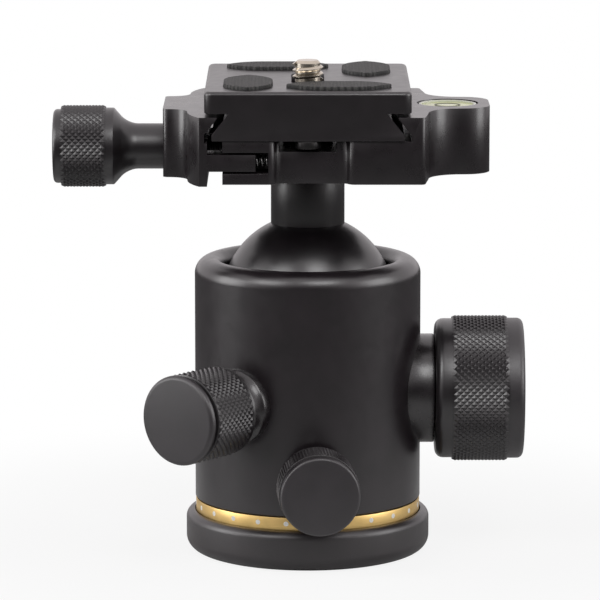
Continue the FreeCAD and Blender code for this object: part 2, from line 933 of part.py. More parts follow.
def pan_lock():
    azimuth, height = dim.pan_lock_azimuth, dim.pan_lock_height
    nose = dim.hub_radius - dim.hub_groove_depth + dim.running_clearance
    pad = turned(
        "pan_lock_pad",
        [
            (ZERO, nose),
            (dim.pan_pad_nose_radius, nose),
            (dim.pan_pad_nose_radius, dim.pan_pad_shoulder),
            (dim.pan_pad_radius, dim.pan_pad_shoulder),
            (dim.pan_pad_radius, dim.pan_pad_end),
            (ZERO, dim.pan_pad_end),
        ],
    )
    keep(point_outward(pad, azimuth, height))
    stud("pan_lock_stud", dim.pan_stud_radius, dim.pan_pad_end, dim.pan_stud_end, azimuth, height)
    small_lock(
        "pan_lock",
        azimuth,
        height,
        dim.pan_collar_radius,
        dim.pan_collar_waist,
        dim.pan_collar_seat,
        dim.pan_collar_rim,
        dim.pan_pad_radius + dim.screw_clearance,
        dim.pan_pad_end + dim.lock_travel + dim.screw_clearance,
        dim.pan_stud_radius,
        dim.pan_stud_end,
        (
            dim.pan_grip_start,
            dim.pan_grip_radius,
            dim.pan_grip_end,
            dim.pan_cap_radius,
            dim.pan_knob_end,
        ),
    )


def blend(start, stop, heading, first_side):
    """Two arcs that lead from one level to another and leave each along the heading, X or Y."""
    step = [(b - a) / 2 for a, b in zip(start, stop)]
    long, short = step if heading == "X" else step[::-1]
    radius = (long * long + short * short) / (short * 2)
    radius = radius if radius.value > 0 else -radius
    middle = (start[0] + step[0], start[1] + step[1])
    other_side = "left" if first_side == "right" else "right"
    return [(*start, radius, first_side), (*middle, radius, other_side)]


def there_and_back(path):
    """Close an outline that is the same on both sides of the X axis."""
    back = []
    for number in range(len(path) - 1, -1, -1):
        corner = path[number]
        arc = path[number - 1][2:] if number else ()
        back.append((corner[0], -corner[1], *arc))
    return list(path) + back


def clamp_body():
    """Fixed half of the clamp: jaw, trough, slotted ends and the tongue that holds the level."""
    front = -dim.clamp_half_length
    sunk_front = front + dim.relief_depth
    half_blend = dim.relief_blend / 2
    corner = dim.right_corner_rounding
    root_arc = dim.tongue_root_rounding
    side = -dim.tongue_half_width
    tip_arc = dim.tongue_rounding
    path = [(-dim.clamp_left, front)]
    path += blend(
        (-dim.relief_left - half_blend, front), (-dim.relief_left + half_blend, sunk_front), "X", "left"
    )
    path += [(-dim.relief_left + half_blend, sunk_front)]
    path += blend(
        (dim.relief_right - half_blend, sunk_front), (dim.relief_right + half_blend, front), "X", "right"
    )
    path += [
        (dim.relief_right + half_blend, front),
        (dim.clamp_right - corner, front, corner, "left"),
        (dim.clamp_right, front + corner),
        (dim.tongue_root, side - root_arc, root_arc, "right"),
        (dim.tongue_root + root_arc, side),
        (dim.tongue_end - tip_arc, side, tip_arc, "left"),
        (dim.tongue_end, side + tip_arc),
    ]
    body = new_body("clamp_blank")
    raised(body, "XY_Plane", there_and_back(path), dim.clamp_height, dim.clamp_bottom)

    above = clamp_top + dim.clamp_height
    beyond = -dim.clamp_left * 2
    undercut = dim.fixed_jaw_root - dim.fixed_jaw_tip
    sunk(
        body,
        "XZ_Plane",
        [
            (beyond, clamp_floor),
            (-dim.trough_half_width, clamp_floor),
            (-dim.trough_half_width, trough_floor),
            (dim.trough_half_width, trough_floor),
            (dim.trough_half_width, clamp_floor),
            (dim.fixed_jaw_root, clamp_floor),
            (dim.fixed_jaw_root, clamp_top - dim.jaw_lip - undercut * flank_rise),
            (dim.fixed_jaw_tip, clamp_top - dim.jaw_lip),
            (dim.fixed_jaw_tip, above),
            (beyond, above),
        ],
        dim.clamp_half_length * 4,
        both_ways=True,
    )
    cuts = []
    slot_height = dim.slot_top - dim.slot_bottom
    for sign in (-1, 1):
        start = -dim.clamp_half_length * 2 if sign < 0 else dim.clamp_half_length - dim.slot_depth
        cuts.append(
            block(
                dim.clamp_left,
                dim.clamp_half_length + dim.slot_depth,
                slot_height,
                -dim.slot_end - dim.clamp_left,
                start,
                dim.clamp_bottom + dim.slot_bottom,
            )
        )
        cuts.append(spring_bore(sign, -dim.slot_end - dim.spring_wire))
    cuts += [
        cylinder(
            dim.clamp_screw_radius + dim.screw_clearance,
            dim.clamp_left * 2 - dim.clamp_screw_tip + dim.jaw_closing + dim.screw_clearance,
            across=-dim.clamp_left * 2,
            up=clamp_screw_axis,
            turn=SIDEWAYS,
        ),
        cylinder(dim.clamp_bolt_radius + dim.running_clearance, dim.clamp_height, up=dim.clamp_bottom),
        cylinder(
            dim.level_radius, dim.level_depth, across=dim.level_place, up=clamp_top - dim.level_depth
        ),
    ]
    keep(combine("Cut", "clamp_body", body, *cuts))


def spring_place(sign):
    """How far along the clamp a spring lies."""
    return (dim.clamp_half_length - dim.guide_width / 2) * sign


def spring_axis():
    return dim.clamp_bottom + (dim.slot_bottom + dim.slot_top) / 2


def spring_bore(sign, across):
    """Blind hole for one end of a spring, running along +X."""
    return cylinder(
        dim.spring_radius + dim.spring_wire / 2 + dim.spring_seat_clearance,
        dim.spring_seat_depth + dim.spring_wire,
        across=across,
        along=spring_place(sign),
        up=spring_axis(),
        turn=SIDEWAYS,
    )


def clamp_bolt():
    """Bolt that holds the clamp on the neck, with a hexagon socket in its low head."""
    head_top = trough_floor + dim.clamp_bolt_head_height
    edge = dim.plate_edge_rounding
    bolt = turned(
        "bolt_blank",
        [
            (ZERO, trough_floor - dim.clamp_bolt_length),
            (dim.clamp_bolt_radius, trough_floor - dim.clamp_bolt_length),
            (dim.clamp_bolt_radius, trough_floor),
            (dim.clamp_bolt_head, trough_floor),
            (dim.clamp_bolt_head, head_top - edge, edge, "left"),
            (dim.clamp_bolt_head - edge, head_top),
            (ZERO, head_top),
        ],
    )
    socket = doc.addObject("Part::Prism", "Socket")
    socket.Polygon = 6
    bind(socket, "Circumradius", dim.clamp_bolt_head * 0.45)
    bind(socket, "Height", dim.clamp_bolt_head_height)
    place(socket, up=head_top - dim.clamp_bolt_head_height * 0.7)
    keep(combine("Cut", "clamp_bolt", bolt, socket))


def bubble_level():
    """Round vial let into the tongue, with its fluid."""
    vial_radius = dim.level_radius - dim.screw_clearance
    vial_bottom = clamp_top - dim.level_depth
    fluid_bottom = vial_bottom + dim.level_floor
    fluid_height = dim.level_depth - dim.level_floor - dim.level_window

    def fluid_shape():
        return cylinder(vial_radius - dim.level_wall, fluid_height, across=dim.level_place, up=fluid_bottom)

    vial = cylinder(vial_radius, dim.level_depth, across=dim.level_place, up=vial_bottom)
    keep(combine("Cut", "level_vial", vial, fluid_shape()))
    keep(rename(fluid_shape(), "level_fluid"))


def moving_jaw():
    """Jaw with an S-curved back, a leg and two guide tongues that run in the clamp's slots."""
    leg_face = -dim.clamp_left - dim.jaw_gap
    front = -dim.clamp_half_length
    leg_back = leg_face - dim.jaw_leg_width
    turn, corner = dim.jaw_waist_rounding, dim.jaw_corner_rounding
    side = -dim.jaw_face_half_width
    waist = -dim.jaw_face + corner + turn
    across, along = leg_back - waist, side - turn - front
    sweep = (across * across + along * along) / (across * 2)
    path = [
        (-dim.jaw_face, side + corner, corner, "left"),
        (-dim.jaw_face + corner, side, turn, "right"),
        (waist, side - turn, sweep, "left"),
        (leg_back, front),
        (-dim.jaw_tip, front),
    ]
    body = new_body("jaw_blank")
    bottom = dim.clamp_bottom - dim.jaw_drop
    raised(body, "XY_Plane", there_and_back(path), dim.clamp_height + dim.jaw_drop, bottom)
    below, above = bottom - dim.jaw_lip, clamp_top + dim.jaw_lip
    sunk(
        body,
        "XZ_Plane",
        [
            (leg_face, below),
            (ZERO, below),
            (ZERO, above),
            (-dim.jaw_tip, above),
            (-dim.jaw_tip, clamp_top - dim.jaw_lip),
            (-dim.jaw_root, clamp_top - dim.jaw_lip - (dim.jaw_root - dim.jaw_tip) * flank_rise),
            (-dim.jaw_root, clamp_floor - dim.jaw_lip),
            (leg_face, clamp_floor - dim.jaw_lip),
        ],
        dim.clamp_half_length * 4,
        both_ways=True,
    )
    added, bores = [body], []
    for sign in (-1, 1):
        start = -dim.clamp_half_length if sign < 0 else dim.clamp_half_length - dim.guide_width
        added.append(
            block(
                -leg_face + dim.jaw_lip - dim.guide_end,
                dim.guide_width,
                dim.guide_half_height * 2,
                leg_face - dim.jaw_lip,
                start,
                spring_axis() - dim.guide_half_height,
            )
        )
        bores.append(spring_bore(sign, -dim.guide_end - dim.spring_seat_depth))
    bores.append(
        cylinder(
            dim.clamp_screw_radius + dim.screw_clearance,
            dim.jaw_face,
            across=-dim.jaw_face - dim.jaw_lip,
            up=clamp_screw_axis,
            turn=SIDEWAYS,
        )
    )
    keep(combine("Cut", "moving_jaw", combine("Fuse", "jaw_with_guides", *added), *bores))


def clamp_knob():
    screw = cylinder(
        dim.clamp_screw_radius,
        dim.clamp_grip_end - dim.clamp_screw_tip,
        across=-dim.clamp_grip_end,
        up=clamp_screw_axis,
        turn=SIDEWAYS,
    )
    keep(rename(screw, "clamp_screw"))
    neck, flange = dim.clamp_knob_neck, dim.clamp_knob_flange_radius
    out, rise = dim.clamp_knob_flange - dim.clamp_knob_flare, flange - neck
    flare = (out * out + rise * rise) / (rise * 2)
    edge = dim.plate_edge_rounding
    knob = turned(
        "clamp_knob",
        [
            (dim.clamp_screw_radius, dim.jaw_face + dim.wedge_gap),
            (neck, dim.jaw_face + dim.wedge_gap),
            (neck, dim.clamp_knob_flare, flare, "right"),
            (flange, dim.clamp_knob_flange),
            (flange, dim.clamp_grip_start),
            (dim.clamp_grip_radius, dim.clamp_grip_start),
            (dim.clamp_grip_radius, dim.clamp_grip_end),
            (dim.clamp_knob_end_radius, dim.clamp_grip_end),
            (dim.clamp_knob_end_radius, dim.clamp_knob_end - edge, edge, "left"),
            (dim.clamp_knob_end_radius - edge, dim.clamp_knob_end),
            (ZERO, dim.clamp_knob_end),
            (ZERO, dim.clamp_grip_end),
            (dim.clamp_screw_radius, dim.clamp_grip_end),
        ],
    )
    keep(place(knob, up=clamp_screw_axis, turn=outward(180)))


def smooth_arcs(point, slope, steps):
    """Pairs of tangent arcs through points of a curve that is given by a formula."""
    edges = []
    for step in range(steps):
        start, stop = point(step), point(step + 1)
        leave, arrive = slope(step), slope(step + 1)
        chord, both = stop - start, leave + arrive
        spread = 2 * (1 - leave.dot(arrive))
        along = chord.dot(both)
        reach = (math.sqrt(along**2 + spread * chord.dot(chord)) - along) / spread
        knees = start + leave * reach, stop - arrive * reach
        middle = (knees[0] + knees[1]) / 2
        for first, knee, last in ((start, knees[0], middle), (middle, knees[1], stop)):
            centre = (first + last) / 2
            height, half = (knee - centre).Length, (first - centre).Length
            radius = half * reach / height
            rise = radius - math.sqrt(radius**2 - half**2)
            edges.append(Part.Arc(first, centre + (knee - centre) * (rise / height), last).toShape())
    return edges


def clamp_springs():
    """Two coil springs that push the moving jaw open, each one unbroken wire."""
    coil, wire = float(dim.spring_radius), float(dim.spring_wire)
    turns = float(dim.spring_turns)
    low = float(-dim.guide_end - dim.spring_seat_depth + dim.spring_wire)
    high = float(-dim.slot_end + dim.spring_seat_depth - dim.spring_wire)
    quarter = math.pi / 2
    pitch = (high - low) / turns
    steep = math.atan2(pitch, 2 * math.pi * coil)

    def point(step):
        angle = step * quarter
        return Vector(low + pitch * step / 4, coil * math.cos(angle), coil * math.sin(angle))

    def slope(step):
        angle = step * quarter
        across = Vector(0, -math.sin(angle), math.cos(angle)) * math.cos(steep)
        return across + Vector(math.sin(steep), 0, 0)

    path = Part.Wire(smooth_arcs(point, slope, round(turns * 4)))
    section = Part.Wire(Part.makeCircle(wire / 2, point(0), slope(0)))
    tube = path.makePipeShell([section], True, False)
    print("spring: least gap between turns", round(pitch * math.cos(steep) - wire, 3))
    for sign, label in ((-1, "clamp_spring_front"), (1, "clamp_spring_back")):
        spring = doc.addObject("Part::Feature", label)
        spring.Label = label
        spring.Shape = tube.copy()
        keep(place(spring, along=spring_place(sign), up=spring_axis()))


def slotted(radius, bottom, top):
    """A round-ended slot along Y, as long as the camera screw's travel."""
    width = radius * 2
    start = -dim.camera_screw_place
    return [
        cylinder(radius, top - bottom, along=start, up=bottom),
        cylinder(radius, top - bottom, along=start + dim.screw_slot_travel, up=bottom),
        block(width, dim.screw_slot_travel, top - bottom, -radius, start, bottom),
    ]


def rubber_pad(label, across, along, turn):
    """Long rounded pad with pointed ends, let into the plate's top."""
    length, width = dim.pad_half_length, dim.pad_half_width
    tip = dim.pad_tip_half_width
    tip_arc, side_arc = dim.pad_tip_rounding, dim.pad_side_radius
    near_tip = length - tip_arc * 0.4
    path = [
        (-near_tip, -tip, side_arc, "left"),
        (-dim.pad_straight, -width),
        (dim.pad_straight, -width, side_arc, "left"),
        (near_tip, -tip, tip_arc, "left"),
        (near_tip, tip, side_arc, "left"),
        (dim.pad_straight, width),
        (-dim.pad_straight, width, side_arc, "left"),
        (-near_tip, tip, tip_arc, "left"),
    ]
    body = new_body(label)
    raised(body, "XY_Plane", path, dim.pad_recess + dim.pad_height)
    return place(body, across, along, plate_top - dim.pad_recess, Rotation(Vector(0, 0, 1), turn))


def plate():
    """Quick-release plate: dovetail, screw slot, pad recesses and stop screws."""
    half = [
        (dim.plate_foot, plate_bottom),
        (dim.plate_foot, foot_top),
        (dim.plate_neck, flange_bottom),
        (dim.plate_half_width, flange_bottom),
        (dim.plate_half_width, plate_top),
    ]
    body = new_body("plate_blank")
    section = half + [(-across, up) for across, up in reversed(half)]
    raised(body, "XZ_Plane", section, dim.plate_half_length * 2, both_ways=True)
    reach, half_length = float(dim.plate_half_width), float(dim.plate_half_length)

    def at_corner(edge):
        box = edge.BoundBox
        return box.ZLength > 1 and abs(box.XMin) > reach - 0.01 and box.XLength < 0.01

    rounded(body, dim.plate_corner_rounding, at_corner)

    def on_top(edge):
        box = edge.BoundBox
        outside = max(abs(box.XMin), abs(box.XMax)) > reach - 2 or abs(box.YMin) > half_length - 2
        return box.ZMin > float(plate_top) - 0.01 and outside

    rounded(body, dim.plate_edge_rounding, on_top)

    head_top = plate_bottom + dim.head_room + dim.camera_screw_head_height
    recess_top = head_top + dim.head_room + dim.screw_clearance * 2
    cuts = slotted(dim.camera_screw_radius + dim.screw_slot_clearance, plate_bottom, plate_top)
    cuts += slotted(dim.camera_screw_head + dim.screw_slot_clearance, plate_bottom, recess_top)
    pads = {
        "rubber_pad_front_left": (-dim.short_pad_across, -dim.short_pad_along, 90),
        "rubber_pad_front_right": (dim.long_pad_across, -dim.long_pad_along, 0),
        "rubber_pad_back_right": (dim.short_pad_across, dim.short_pad_along, 90),
        "rubber_pad_back_left": (-dim.long_pad_across, dim.long_pad_along, 0),
    }
    for label, spot in pads.items():
        cuts.append(rubber_pad("pad_recess", *spot))
        keep(rubber_pad(label, *spot))
    screws = []
    for sign in (-1, 1):
        spot = dim.stop_screw_place * sign
        cuts.append(cylinder(dim.stop_screw_radius, dim.stop_screw_length, along=spot, up=plate_bottom))
        screws.append(place(stop_screw(), along=spot, up=plate_bottom))
    keep(combine("Cut", "plate", body, *cuts))
    keep(combine("Fuse", "stop_screws", *screws))

    washer = ring(
        "camera_screw_washer",
        dim.camera_screw_shank + dim.screw_clearance,
        dim.camera_screw_head,
        head_top + dim.screw_clearance,
        head_top + dim.screw_clearance + dim.head_room,
    )
    keep(place(washer, along=-dim.camera_screw_place))
    camera_screw(head_top)


def stop_screw():
    """Low screw under the plate; its origin is the plate's underside."""
    return turned(
        "screw_blank",
        [
            (ZERO, -dim.stop_screw_head_height),
            (dim.stop_screw_head, -dim.stop_screw_head_height),
            (dim.stop_screw_head, ZERO),
            (dim.stop_screw_radius, ZERO),
            (dim.stop_screw_radius, dim.stop_screw_length),
            (ZERO, dim.stop_screw_length),
        ],
    )


def camera_screw(head_top):
    """The screw that goes into the camera, with a coin slot in its head."""
    tip = plate_top + dim.camera_screw_reach
    bevel = dim.clamp_edge_rounding
    head_bottom = head_top - dim.camera_screw_head_height
    screw = turned(
        "camera_screw_blank",
        [
            (ZERO, head_bottom),
            (dim.camera_screw_head, head_bottom),
            (dim.camera_screw_head, head_top),
            (dim.camera_screw_shank, head_top),
            (dim.camera_screw_shank, plate_top),
            (dim.camera_screw_radius, plate_top),
            (dim.camera_screw_radius, tip - bevel),
            (dim.camera_screw_radius - bevel, tip),
            (ZERO, tip),
        ],
    )
    place(screw, along=-dim.camera_screw_place)
    coin_width = dim.clamp_bolt_head_height * 0.7
    coin_slot = block(
        dim.camera_screw_head * 2,
        coin_width,
        dim.camera_screw_head_height / 2,
        -dim.camera_screw_head,
        -dim.camera_screw_place - coin_width / 2,
        head_bottom,
    )
    keep(combine("Cut", "camera_screw", screw, coin_slot))


pan_base()
tripod_thread_bush()
pan_bearing()
housing()
ball_chamber()
ball_and_stem()
main_lock()
friction_lock()
pan_lock()
clamp_body()
clamp_bolt()
bubble_level()
moving_jaw()
clamp_knob()
clamp_springs()
plate()

doc.recompute()
for thing in doc.Objects:
    if {"Invalid", "Error"} & set(thing.State):
        raise ValueError(f"{thing.Label} failed to build: {thing.State}")
for node in nodes:
    if node.Shape.isNull() or not node.Shape.isValid():
        raise ValueError(f"{node.Label} has no valid shape")

os.makedirs("parts", exist_ok=True)
for node in nodes:
    node.Shape.exportStep(f"parts/{node.Label}.step")
    print(node.Label, round(node.Shape.Volume, 2), len(node.Shape.Solids))
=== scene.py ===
import json
import math

import bmesh
import bpy
from mathutils import Matrix, Vector


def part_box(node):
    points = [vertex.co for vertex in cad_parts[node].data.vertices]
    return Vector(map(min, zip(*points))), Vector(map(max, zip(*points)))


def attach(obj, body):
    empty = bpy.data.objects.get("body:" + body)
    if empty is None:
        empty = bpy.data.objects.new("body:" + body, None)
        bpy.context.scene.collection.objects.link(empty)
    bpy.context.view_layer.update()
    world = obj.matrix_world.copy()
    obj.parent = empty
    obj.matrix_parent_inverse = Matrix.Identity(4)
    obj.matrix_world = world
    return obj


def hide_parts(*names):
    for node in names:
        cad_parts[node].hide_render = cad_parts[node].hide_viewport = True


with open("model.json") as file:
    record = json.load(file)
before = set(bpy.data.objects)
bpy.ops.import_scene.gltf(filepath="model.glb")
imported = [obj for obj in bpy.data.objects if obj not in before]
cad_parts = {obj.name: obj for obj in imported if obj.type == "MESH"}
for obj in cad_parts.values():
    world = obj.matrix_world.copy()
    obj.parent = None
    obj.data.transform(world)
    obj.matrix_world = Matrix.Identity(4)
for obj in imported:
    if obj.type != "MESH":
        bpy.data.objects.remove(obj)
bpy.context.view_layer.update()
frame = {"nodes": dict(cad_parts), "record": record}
cad = frame["nodes"]
body_of_node = {
    node: body for body, members in frame["record"]["behaviour"]["bodies"].items() for node in members
}
slot_of_node = {entry["node"]: entry["material_slot"] for entry in frame["record"]["subparts"]}

MM = 0.001
FULL_TURN = math.tau
WELD = 1e-7
TOUCH = 1e-6
SHARP = 32.0
THREAD_SHARP = 28.0
BROAD_AREA = 2e-6

# Places that several pieces share, in mm
CLAMP_SCREW_HEIGHT = 84.9
CAMERA_SCREW_Y = -8.1
LEVEL_X = 28.9


# Finishes

def new_finish(name, **sockets):
    """A material whose plain numbers and colours sit on the shader's own sockets."""
    finish = bpy.data.materials.new(name)
    finish.use_nodes = True
    surface = finish.node_tree.nodes["Principled BSDF"]
    for socket, value in sockets.items():
        surface.inputs[socket.replace("_", " ")].default_value = value
    return finish, finish.node_tree, surface


def add(tree, kind, inputs=None, **settings):
    node = tree.nodes.new(kind)
    for name, value in settings.items():
        setattr(node, name, value)
    for name, value in (inputs or {}).items():
        if isinstance(value, bpy.types.NodeSocket):
            tree.links.new(value, node.inputs[name])
        else:
            node.inputs[name].default_value = value
    return node


def spot(tree, scale=(1, 1, 1), turn=(0, 0, 0)):
    """The place on the piece, stretched or turned."""
    coordinates = add(tree, "ShaderNodeTexCoord")
    mapping = add(tree, "ShaderNodeMapping", {"Vector": coordinates.outputs["Object"]})
    mapping.inputs["Scale"].default_value = scale
    mapping.inputs["Rotation"].default_value = turn
    return mapping.outputs["Vector"]


def cloud(tree, where, scale, detail=3.0):
    noise = add(tree, "ShaderNodeTexNoise", {"Vector": where, "Scale": scale, "Detail": detail})
    return noise.outputs["Fac"]


def between(tree, amount, low, high):
    """Spread a 0 to 1 pattern over a range of numbers."""
    spread = add(tree, "ShaderNodeMapRange", {"Value": amount, "To Min": low, "To Max": high})
    return spread.outputs["Result"]


def shades(tree, amount, *stops):
    """Colours along a pattern; each stop is (place, colour)."""
    ramp = add(tree, "ShaderNodeValToRGB", {"Fac": amount})
    elements = ramp.color_ramp.elements
    while len(elements) < len(stops):
        elements.new(0.5)
    for element, (place, colour) in zip(elements, stops):
        element.position = place
        element.color = (*colour, 1)
    return ramp.outputs["Color"]


def relief(tree, surface, height, depth, strength=1.0, under=None):
    """Raise the surface by a pattern, on top of a coarser one."""
    inputs = {"Height": height, "Distance": depth * MM, "Strength": strength}
    if under is not None:
        inputs["Normal"] = under
    bump = add(tree, "ShaderNodeBump", inputs)
    tree.links.new(bump.outputs["Normal"], surface.inputs["Normal"])
    return bump.outputs["Normal"]


def link(tree, output, surface, socket):
    tree.links.new(output, surface.inputs[socket])


def anodised(name, colour, roughness, grain=0.006, mottle=0.25):
    """Bead-blasted aluminium with a dark anodised skin: faint mottling, and a fine even grain."""
    finish, tree, surface = new_finish(name, Metallic=0.0, Specular_IOR_Level=0.85)
    here = spot(tree)
    darker = tuple(c * (1 - mottle) for c in colour)
    lighter = tuple(c * (1 + mottle) for c in colour)
    patches = cloud(tree, here, 160, 4.0)
    link(tree, shades(tree, patches, (0.3, darker), (0.7, lighter)), surface, "Base Color")
    worn = between(tree, cloud(tree, here, 420, 5.0), roughness - 0.05, roughness + 0.06)
    link(tree, worn, surface, "Roughness")
    relief(tree, surface, cloud(tree, here, 5200, 2.0), grain)
    return finish


def turned_metal(name, colour, roughness, metallic=1.0, lines=7000, depth=0.004):
    """Metal from the lathe: rings too fine to count run round the Z axis."""
    finish, tree, surface = new_finish(name, Metallic=metallic)
    rings = cloud(tree, spot(tree, (0.02, 0.02, 1)), lines, 2.0)
    stained = cloud(tree, spot(tree), 220, 4.0)
    darker = tuple(c * 0.86 for c in colour)
    link(tree, shades(tree, stained, (0.35, darker), (0.65, colour)), surface, "Base Color")
    link(tree, between(tree, rings, roughness - 0.06, roughness + 0.08), surface, "Roughness")
    relief(tree, surface, rings, depth)
    return finish


def moulded(name, colour, roughness, grain=0.01):
    """Plain engineering plastic with a slightly uneven skin."""
    finish, tree, surface = new_finish(name)
    here = spot(tree)
    darker = tuple(c * 0.93 for c in colour)
    link(tree, shades(tree, cloud(tree, here, 300), (0.3, darker), (0.7, colour)), surface, "Base Color")
    worn = between(tree, cloud(tree, here, 900), roughness - 0.05, roughness + 0.05)
    link(tree, worn, surface, "Roughness")
    relief(tree, surface, cloud(tree, here, 2500, 2.0), grain)
    return finish


def ribbed_rubber():
    """Dark rubber whose top is cut into small diamonds by two crossing sets of grooves, with painted shade
    down in the grooves.
    """
    finish, tree, surface = new_finish("ribbed_rubber", Specular_IOR_Level=0.35)
    heights = []
    for turn in (0.62, -0.62):
        bands = add(
            tree,
            "ShaderNodeTexWave",
            {"Vector": spot(tree, turn=(0, 0, turn)), "Scale": 280.0, "Distortion": 0.0, "Detail": 0.0},
            wave_type="BANDS",
            bands_direction="X",
            wave_profile="SIN",
        )
        heights.append(bands.outputs["Fac"])
    diamonds = add(tree, "ShaderNodeMath", operation="MINIMUM")
    tree.links.new(heights[0], diamonds.inputs[0])
    tree.links.new(heights[1], diamonds.inputs[1])
    # Painted shade: the colour darkens down in the grooves and is lighter on the diamond tops.
    link(
        tree,
        shades(tree, diamonds.outputs[0], (0.0, (0.012, 0.012, 0.012)), (0.6, (0.055, 0.054, 0.052))),
        surface,
        "Base Color",
    )
    link(tree, between(tree, cloud(tree, spot(tree), 1500), 0.55, 0.72), surface, "Roughness")
    relief(tree, surface, diamonds.outputs[0], 0.22)
    return finish


FINISHES = {
    "base_black": anodised("base_skin", (0.0115, 0.0082, 0.0098), 0.38),
    "ring_gold": turned_metal("gold_skin", (0.80, 0.56, 0.22), 0.38),
    "bush_steel": turned_metal("turned_steel", (0.55, 0.55, 0.54), 0.30),
    "bearing_plastic": moulded("bearing_plastic", (0.72, 0.71, 0.66), 0.5),
    "inner_aluminium": turned_metal("turned_aluminium", (0.62, 0.62, 0.62), 0.32),
    "inner_steel": turned_metal("plain_steel", (0.50, 0.50, 0.50), 0.28),
    "cup_plastic": moulded("cup_plastic", (0.66, 0.65, 0.61), 0.45),
    "wedge_brass": turned_metal("turned_brass", (0.66, 0.46, 0.19), 0.3),
    "housing_black": anodised("housing_skin", (0.0110, 0.0078, 0.0096), 0.30),
    "collar_black": anodised("collar_skin", (0.0115, 0.0088, 0.0102), 0.26),
    "ball_black": anodised("ball_skin", (0.0060, 0.0042, 0.0054), 0.30, 0.004),
    "stem_black": anodised("stem_skin", (0.0110, 0.0086, 0.0098), 0.30),
    "grip_black": anodised("grip_skin", (0.0105, 0.0082, 0.0096), 0.30),
    "cap_black": anodised("cap_skin", (0.0150, 0.0118, 0.0142), 0.42),
    "clamp_black": anodised("clamp_skin", (0.0108, 0.0080, 0.0096), 0.28),
    "plate_black": anodised("plate_skin", (0.0105, 0.0078, 0.0094), 0.32),
    "screw_black": turned_metal("blackened_steel", (0.045, 0.043, 0.043), 0.34, 0.8),
    "screw_steel": turned_metal("warm_steel", (0.62, 0.56, 0.47), 0.24),
    "spring_steel": turned_metal("spring_wire", (0.75, 0.75, 0.74), 0.18, 1.0, 3000, 0.001),
    "pad_rubber": ribbed_rubber(),
}


def tinted(name, pale, deep, roughness, **sockets):
    """Coloured fluid or plastic, a little deeper in places."""
    finish, tree, surface = new_finish(name, **sockets)
    depths = cloud(tree, spot(tree), 260)
    link(tree, shades(tree, depths, (0.3, deep), (0.7, pale)), surface, "Base Color")
    link(tree, between(tree, depths, roughness, roughness + 0.06), surface, "Roughness")
    return finish


FINISHES["vial_clear"] = tinted(
    "vial_rim", (0.74, 0.75, 0.66), (0.68, 0.69, 0.60), 0.3, Coat_Weight=0.3, Coat_Roughness=0.2
)
FINISHES["vial_fluid"] = tinted(
    "level_fluid", (0.72, 0.76, 0.34), (0.66, 0.70, 0.30), 0.3, Coat_Weight=0.5, Coat_Roughness=0.08
)


# Ways of making pieces

def link_piece(name, mesh, node, finish=None, body=None, stands_for=()):
    """Put a finished mesh in the scene: it rides with the node's body and takes the given finish, else the
    finish of the node's slot.
    """
    piece = bpy.data.objects.new(name, mesh)
    bpy.context.scene.collection.objects.link(piece)
    piece.data.materials.clear()
    piece.data.materials.append(finish or FINISHES[slot_of_node[node]])
    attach(piece, body or body_of_node[node])
    if stands_for:
        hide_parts(*stands_for)
    return piece


def crease(bm, angle=30.0, flat=()):
    """Shade smoothly, except over sharp edges and on the faces that stay flat."""
    for face in bm.faces:
        face.smooth = True
    for face in flat:
        face.smooth = False
    limit = math.radians(angle)
    for edge in bm.edges:
        if len(edge.link_faces) == 2:
            edge.smooth = edge.calc_face_angle(0) < limit
        else:
            edge.smooth = False


def shade_round(mesh, radius):
    """Give the upright wall of a turned piece the true normals of its cylinder."""
    reach = 0.02 * MM
    normals = [Vector((0, 0, 0))] * len(mesh.loops)
    for face in mesh.polygons:
        if abs(face.normal.z) > 0.05:
            continue
        places = [mesh.vertices[mesh.loops[k].vertex_index].co for k in face.loop_indices]
        if any(abs(place.xy.length - radius) > reach for place in places):
            continue
        for k, place in zip(face.loop_indices, places):
            normals[k] = Vector((place.x, place.y, 0)).normalized()
    mesh.normals_split_custom_set(normals)


def to_mesh(bm, name):
    mesh = bpy.data.meshes.new(name)
    bm.to_mesh(mesh)
    bm.free()
    return mesh


def eased(node, width, wall=0.0):
    """A CAD node with the same shape, its sharp edges broken by a small rounding."""
    bm = bmesh.new()
    bm.from_mesh(cad[node].data)
    bmesh.ops.remove_doubles(bm, verts=bm.verts, dist=TOUCH)
    bmesh.ops.dissolve_limit(
        bm, angle_limit=math.radians(0.6), use_dissolve_boundaries=False, verts=bm.verts, edges=bm.edges
    )
    if width:
        limit = math.radians(SHARP)
        sharp = [e for e in bm.edges if len(e.link_faces) == 2 and e.calc_face_angle(0) > limit]
        bmesh.ops.bevel(
            bm,
            geom=sharp,
            offset=width * MM,
            offset_type="OFFSET",
            affect="EDGES",
            segments=2,
            profile=0.5,
            material=-1,
            clamp_overlap=True,
        )
    broad = [
        f for f in bm.faces if f.calc_area() > BROAD_AREA and len(f.verts) != 4 and abs(f.normal.z) > 0.99
    ]
    crease(bm, SHARP, broad)
    mesh = to_mesh(bm, node)
    if wall:
        shade_round(mesh, wall * MM)
    return link_piece(f"{node}_finished", mesh, node, stands_for=[node])


def outward(azimuth, height):
    """Turns a piece that stands on the Z axis so that it points out of the housing."""
    return (
        Matrix.Translation((0, 0, height * MM))
        @ Matrix.Rotation(math.radians(azimuth), 4, "Z")
        @ Matrix.Rotation(math.pi / 2, 4, "Y")
    )


def grip_rows(radius, start, stop, around):
    """Rings half a diamond apart, over the length of a knurled grip."""
    half_pitch = math.pi * radius / around
    count = 2 * round((stop - start) / half_pitch / 2)
    return [(radius, start + (stop - start) * k / count, 0) for k in range(count + 1)]


